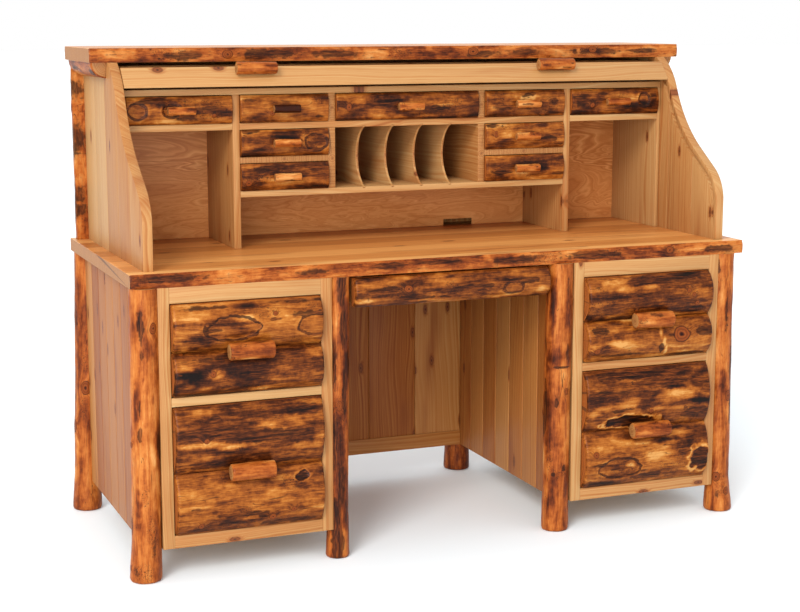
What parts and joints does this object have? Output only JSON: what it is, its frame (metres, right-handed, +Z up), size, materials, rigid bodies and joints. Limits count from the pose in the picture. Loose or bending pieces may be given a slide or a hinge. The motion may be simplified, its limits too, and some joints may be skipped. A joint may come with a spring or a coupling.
{
  "type": "roll top desk",
  "caption": "Rustic log-framed pedestal desk with a pigeonhole organizer and a slatted tambour that rolls down over the writing surface.",
  "frame": {"origin": "on the floor, under the middle of the desk's outline", "axes": "+X to the sitter's right along the desk, +Y from the front to the back, +Z up; the drawers open towards -Y"},
  "size_m": [1.708, 0.7914, 1.286],
  "materials": {
    "pale_boards": "satin lacquer over pale knotty boards",
    "worktop_wood": "satin lacquer over amber boards",
    "logs": "gloss lacquer over peeled, mottled logs",
    "log_pulls": "gloss lacquer over peeled twigs",
    "half_logs": "gloss lacquer over dark, streaked half logs",
    "plywood": "satin lacquer over rotary-cut ply",
    "drawer_wood": "bare planed wood"
  },
  "bodies": {
    "desk": {"worktop": "worktop_wood", "top_slab": "logs", "post_front_left_outer": "logs", "post_front_left_inner": "logs", "post_front_right_inner": "logs", "post_front_right_outer": "logs", "rear_posts": "logs", "face_frame_left": "pale_boards", "face_frame_right": "pale_boards", "side_panel_left": "pale_boards", "side_panel_right": "pale_boards", "knee_panel_left": "pale_boards", "knee_panel_right": "pale_boards", "pedestal_backs": "pale_boards", "knee_back_panel": "pale_boards", "drawer_runners": "drawer_wood", "hutch_side_left": "pale_boards", "hutch_side_right": "pale_boards", "hutch_rear_slabs": "logs", "hutch_cleats": "logs", "hutch_back": "pale_boards", "organizer_case": "pale_boards", "organizer_back": "plywood", "letter_dividers": "pale_boards"},
    "drawer_upper_left": {"drawer_box_upper_left": "drawer_wood", "drawer_front_upper_left": "half_logs", "drawer_pull_upper_left": "log_pulls"},
    "drawer_lower_left": {"drawer_box_lower_left": "drawer_wood", "drawer_front_lower_left": "half_logs", "drawer_pull_lower_left": "log_pulls"},
    "drawer_upper_right": {"drawer_box_upper_right": "drawer_wood", "drawer_front_upper_right": "half_logs", "drawer_pull_upper_right": "log_pulls"},
    "drawer_lower_right": {"drawer_box_lower_right": "drawer_wood", "drawer_front_lower_right": "half_logs", "drawer_pull_lower_right": "log_pulls"},
    "pencil_drawer": {"pencil_drawer_box": "drawer_wood", "pencil_drawer_front": "half_logs"},
    "cubby_1": {"small_drawer_1": "half_logs"},
    "cubby_2": {"small_drawer_2": "half_logs"},
    "cubby_3": {"small_drawer_3": "half_logs"},
    "cubby_4": {"small_drawer_4": "half_logs"},
    "cubby_5": {"small_drawer_5": "half_logs"},
    "cubby_6": {"small_drawer_6": "half_logs"},
    "cubby_7": {"small_drawer_7": "half_logs"},
    "cubby_8": {"small_drawer_8": "half_logs"},
    "cubby_9": {"small_drawer_9": "half_logs"},
    "lift_rail": {"lift_rail": "pale_boards", "lift_rail_pulls": "log_pulls"},
    "slats_1": {"tambour_slats_1": "pale_boards"},
    "slats_2": {"tambour_slats_2": "pale_boards"},
    "slats_3": {"tambour_slats_3": "pale_boards"},
    "slats_4": {"tambour_slats_4": "pale_boards"},
    "slats_5": {"tambour_slats_5": "pale_boards"},
    "slats_6": {"tambour_slats_6": "pale_boards"},
    "slats_7": {"tambour_slats_7": "pale_boards"},
    "slats_8": {"tambour_slats_8": "pale_boards"},
    "slats_9": {"tambour_slats_9": "pale_boards"},
    "slats_10": {"tambour_slats_10": "pale_boards"},
    "slats_11": {"tambour_slats_11": "pale_boards"}
  },
  "joints": [
    {"name": "drawer_upper_left_slide", "type": "slide", "parent": "desk", "child": "drawer_upper_left", "axis": [0, -1, 0], "range_m": [0, 0.4]},
    {"name": "drawer_lower_left_slide", "type": "slide", "parent": "desk", "child": "drawer_lower_left", "axis": [0, -1, 0], "range_m": [0, 0.4]},
    {"name": "drawer_upper_right_slide", "type": "slide", "parent": "desk", "child": "drawer_upper_right", "axis": [0, -1, 0], "range_m": [0, 0.4]},
    {"name": "drawer_lower_right_slide", "type": "slide", "parent": "desk", "child": "drawer_lower_right", "axis": [0, -1, 0], "range_m": [0, 0.4]},
    {"name": "pencil_drawer_slide", "type": "slide", "parent": "desk", "child": "pencil_drawer", "axis": [0, -1, 0], "range_m": [0, 0.3]},
    {"name": "small_drawer_1_slide", "type": "slide", "parent": "desk", "child": "cubby_1", "axis": [0, -1, 0], "range_m": [0, 0.17]},
    {"name": "small_drawer_2_slide", "type": "slide", "parent": "desk", "child": "cubby_2", "axis": [0, -1, 0], "range_m": [0, 0.17]},
    {"name": "small_drawer_3_slide", "type": "slide", "parent": "desk", "child": "cubby_3", "axis": [0, -1, 0], "range_m": [0, 0.17]},
    {"name": "small_drawer_4_slide", "type": "slide", "parent": "desk", "child": "cubby_4", "axis": [0, -1, 0], "range_m": [0, 0.17]},
    {"name": "small_drawer_5_slide", "type": "slide", "parent": "desk", "child": "cubby_5", "axis": [0, -1, 0], "range_m": [0, 0.17]},
    {"name": "small_drawer_6_slide", "type": "slide", "parent": "desk", "child": "cubby_6", "axis": [0, -1, 0], "range_m": [0, 0.17]},
    {"name": "small_drawer_7_slide", "type": "slide", "parent": "desk", "child": "cubby_7", "axis": [0, -1, 0], "range_m": [0, 0.17]},
    {"name": "small_drawer_8_slide", "type": "slide", "parent": "desk", "child": "cubby_8", "axis": [0, -1, 0], "range_m": [0, 0.17]},
    {"name": "small_drawer_9_slide", "type": "slide", "parent": "desk", "child": "cubby_9", "axis": [0, -1, 0], "range_m": [0, 0.17]},
    {"name": "tambour_roll", "type": "hinge", "parent": "desk", "child": "lift_rail", "pos_m": [0, 0.42195, 0.60774], "axis": [-1, 0, 0], "range_deg": [-40, 0]},
    {"name": "slats_1_roll", "type": "hinge", "parent": "desk", "child": "slats_1", "pos_m": [0, 0.14157, 0.8079], "axis": [-1, 0, 0], "range_deg": [-71.95, 0], "deforming": ["tambour_slats_1"]},
    {"name": "slats_2_roll", "type": "hinge", "parent": "desk", "child": "slats_2", "pos_m": [0, 0.18647, 0.76191], "axis": [-1, 0, 0], "range_deg": [-62.9, 0], "deforming": ["tambour_slats_2"]},
    {"name": "slats_3_roll", "type": "hinge", "parent": "desk", "child": "slats_3", "pos_m": [0, 0.39641, 0.49722], "axis": [-1, 0, 0], "range_deg": [-36.84, 0], "deforming": ["tambour_slats_3"]},
    {"name": "slats_4_roll", "type": "hinge", "parent": "desk", "child": "slats_4", "pos_m": [0, 0.43296, 0.44473], "axis": [-1, 0, 0], "range_deg": [-34.05, 0], "deforming": ["tambour_slats_4"]},
    {"name": "slats_5_roll", "type": "hinge", "parent": "desk", "child": "slats_5", "pos_m": [0, 0.26497, 0.71837], "axis": [-1, 0, 0], "range_deg": [-55.14, 0], "deforming": ["tambour_slats_5"]},
    {"name": "slats_6_roll", "type": "hinge", "parent": "desk", "child": "slats_6", "pos_m": [0, 0.15121, 0.94913], "axis": [-1, 0, 0], "range_deg": [-102.95, 0], "deforming": ["tambour_slats_6"]},
    {"name": "slats_7_roll", "type": "hinge", "parent": "desk", "child": "slats_7", "pos_m": [0, 0.12466, 1.03361], "axis": [-1, 0, 0], "range_deg": [-138.91, 0], "deforming": ["tambour_slats_7"]},
    {"name": "slats_8_roll", "type": "hinge", "parent": "desk", "child": "slats_8", "pos_m": [0, 0.12313, 1.04832], "axis": [-1, 0, 0], "range_deg": [-147.18, 0], "deforming": ["tambour_slats_8"]},
    {"name": "slats_9_roll", "type": "hinge", "parent": "desk", "child": "slats_9", "pos_m": [0, 0.12466, 1.05799], "axis": [-1, 0, 0], "range_deg": [-153.28, 0], "deforming": ["tambour_slats_9"]},
    {"name": "slats_10_roll", "type": "hinge", "parent": "desk", "child": "slats_10", "pos_m": [0, 0.11379, 1.03477], "axis": [-1, 0, 0], "range_deg": [-137.99, 0], "deforming": ["tambour_slats_10"]},
    {"name": "slats_11_roll", "type": "hinge", "parent": "desk", "child": "slats_11", "pos_m": [0, 0.08299, 0.99755], "axis": [-1, 0, 0], "range_deg": [-114.35, 0], "deforming": ["tambour_slats_11"]}
  ],
  "couplings": [
    {"joint": "slats_1_roll", "follows": "tambour_roll", "ratio": 1.7976},
    {"joint": "slats_2_roll", "follows": "tambour_roll", "ratio": 1.5712},
    {"joint": "slats_3_roll", "follows": "tambour_roll", "ratio": 0.91984},
    {"joint": "slats_4_roll", "follows": "tambour_roll", "ratio": 0.84998},
    {"joint": "slats_5_roll", "follows": "tambour_roll", "ratio": 1.3773},
    {"joint": "slats_6_roll", "follows": "tambour_roll", "ratio": 2.5725},
    {"joint": "slats_7_roll", "follows": "tambour_roll", "ratio": 3.4715},
    {"joint": "slats_8_roll", "follows": "tambour_roll", "ratio": 3.6782},
    {"joint": "slats_9_roll", "follows": "tambour_roll", "ratio": 3.8307},
    {"joint": "slats_10_roll", "follows": "tambour_roll", "ratio": 3.4485},
    {"joint": "slats_11_roll", "follows": "tambour_roll", "ratio": 2.8575}
  ]
}
